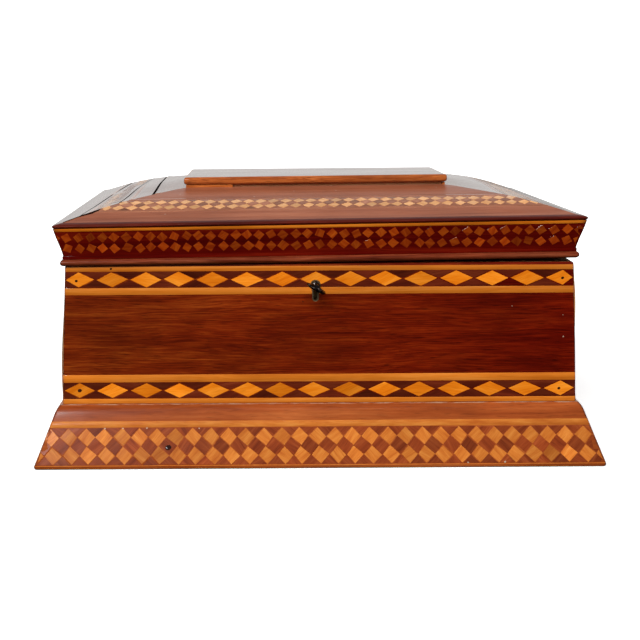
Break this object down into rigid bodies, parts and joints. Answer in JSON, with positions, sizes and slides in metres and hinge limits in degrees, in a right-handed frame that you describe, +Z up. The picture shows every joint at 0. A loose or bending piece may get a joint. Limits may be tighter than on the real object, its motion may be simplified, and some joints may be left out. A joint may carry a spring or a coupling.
{
  "type": "marquetry box",
  "caption": "Sarcophagus-form veneered wooden box with a flared plinth, a hipped hinged lid and a lock with its key; it holds jewels, papers or sewing things.",
  "frame": {"origin": "on the floor, at the middle of the foot", "axes": "+X to the right along the front, +Y to the back, +Z up; the keyhole faces -Y"},
  "size_m": [0.34, 0.246, 0.1662],
  "materials": {
    "field_veneer": "dark red-brown veneer under a worn gloss varnish, with inlaid light lozenge bands",
    "plinth_veneer": "lighter red-brown veneer under gloss varnish, with two rows of inlaid squares",
    "frieze_veneer": "dark veneer under gloss varnish, with two rows of small inlaid squares",
    "roof_veneer": "brown veneer under worn varnish, cracked on the left slope",
    "bead_wood": "dark stained moulding under gloss varnish",
    "tablet_wood": "orange-brown wood under gloss varnish",
    "bare_wood": "unvarnished pale wood",
    "hinge_brass": "tarnished brass",
    "lock_brass": "dull brass",
    "key_steel": "dark tarnished steel, worn bright on the edges"
  },
  "bodies": {
    "box": {"bottom_board": "bare_wood", "plinth_front": "plinth_veneer", "plinth_right": "plinth_veneer", "plinth_back": "plinth_veneer", "plinth_left": "plinth_veneer", "wall_front": "field_veneer", "wall_right": "field_veneer", "wall_back": "field_veneer", "wall_left": "field_veneer", "hinge_body_leaf_left": "hinge_brass", "hinge_pin_left": "hinge_brass", "hinge_body_leaf_right": "hinge_brass", "hinge_pin_right": "hinge_brass", "lock": "lock_brass", "keyhole_liner": "lock_brass", "key": "key_steel"},
    "lid": {"lid_bead_front": "bead_wood", "lid_bead_right": "bead_wood", "lid_bead_back": "bead_wood", "lid_bead_left": "bead_wood", "lid_frieze_front": "frieze_veneer", "lid_frieze_right": "frieze_veneer", "lid_frieze_back": "frieze_veneer", "lid_frieze_left": "frieze_veneer", "roof_front": "roof_veneer", "roof_right": "roof_veneer", "roof_back": "roof_veneer", "roof_left": "roof_veneer", "tablet": "tablet_wood", "tablet_plate": "bare_wood", "tablet_strip_front": "tablet_wood", "tablet_strip_right": "tablet_wood", "tablet_strip_back": "tablet_wood", "tablet_strip_left": "tablet_wood", "hinge_lid_leaf_left": "hinge_brass", "hinge_lid_leaf_right": "hinge_brass", "link_plate": "lock_brass"}
  },
  "joints": [
    {"name": "lid_hinge", "type": "hinge", "parent": "box", "child": "lid", "pos_m": [0, 0.1056, 0.12015], "axis": [-1, 0, 0], "range_deg": [0, 100]}
  ]
}
